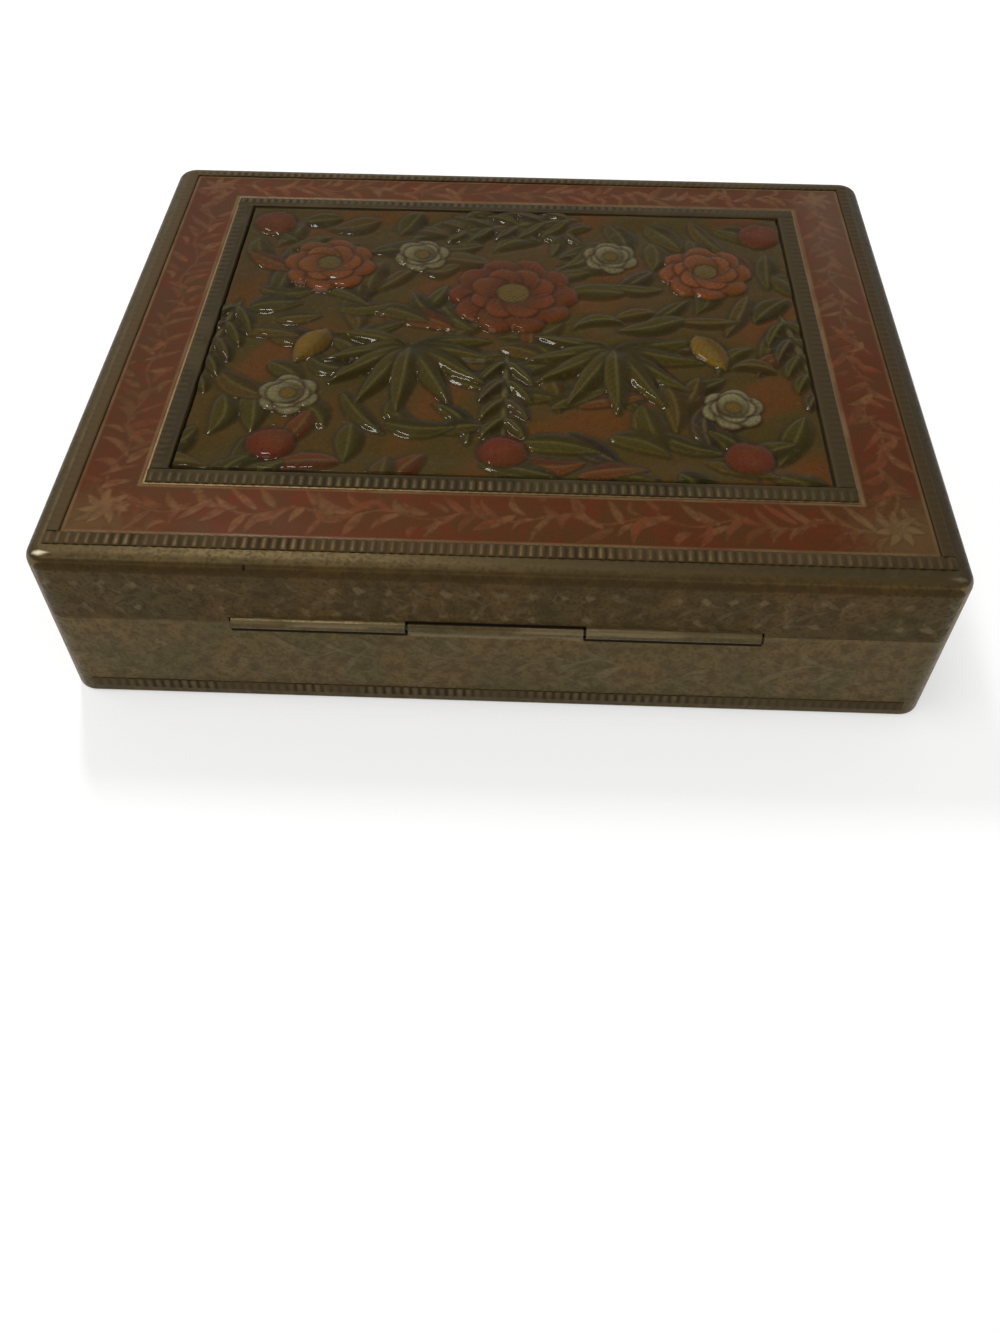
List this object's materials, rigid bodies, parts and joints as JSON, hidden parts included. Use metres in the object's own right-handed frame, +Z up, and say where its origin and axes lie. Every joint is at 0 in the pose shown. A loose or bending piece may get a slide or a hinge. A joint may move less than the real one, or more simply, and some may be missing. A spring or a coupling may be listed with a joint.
{
  "type": "trinket box",
  "caption": "Low rectangular metal keepsake box with a hinged lid, enamelled border, embossed plaque in milled borders, and a cedar-lined tray.",
  "frame": {"origin": "centre of the underside, on the surface that the box stands on", "axes": "+X along the box's length, +Y towards the hinge side, +Z up; the lid opens from the -Y side"},
  "size_m": [0.1154, 0.0965, 0.0258],
  "materials": {
    "shell_brass": "aged, dull polish",
    "milled_brass": "worn bright on the beads",
    "inner_border_metal": "slate-grey patina",
    "hinge_brass": "aged, worn bright on the edges",
    "pin_steel": "drawn wire",
    "enamel": "glossy brick-red enamel with painted leaves",
    "plaque_lacquer": "painted and lacquered relief",
    "cedar": "planed, unvarnished"
  },
  "bodies": {
    "base": {"base_wall": "shell_brass", "base_floor": "shell_brass", "base_knuckle": "hinge_brass", "hinge_pin": "pin_steel", "lining_floor": "cedar", "foot_border_front": "milled_brass", "lining_front": "cedar", "foot_border_back": "milled_brass", "lining_back": "cedar", "foot_border_left": "milled_brass", "lining_left": "cedar", "foot_border_right": "milled_brass", "lining_right": "cedar"},
    "lid": {"lid_shell": "shell_brass", "lid_knuckle_left": "hinge_brass", "lid_knuckle_right": "hinge_brass", "enamel_border": "enamel", "relief_plaque": "plaque_lacquer", "lid_lining": "cedar", "thumb_lip": "hinge_brass", "outer_border_front": "milled_brass", "outer_border_back": "milled_brass", "outer_border_left": "milled_brass", "outer_border_right": "milled_brass", "inner_border_front": "inner_border_metal", "inner_border_back": "inner_border_metal", "inner_border_left": "inner_border_metal", "inner_border_right": "inner_border_metal"}
  },
  "joints": [
    {"name": "lid_hinge", "type": "hinge", "parent": "base", "child": "lid", "pos_m": [0, 0.04685, 0.01525], "axis": [-1, 0, 0], "range_deg": [0, 100]}
  ]
}
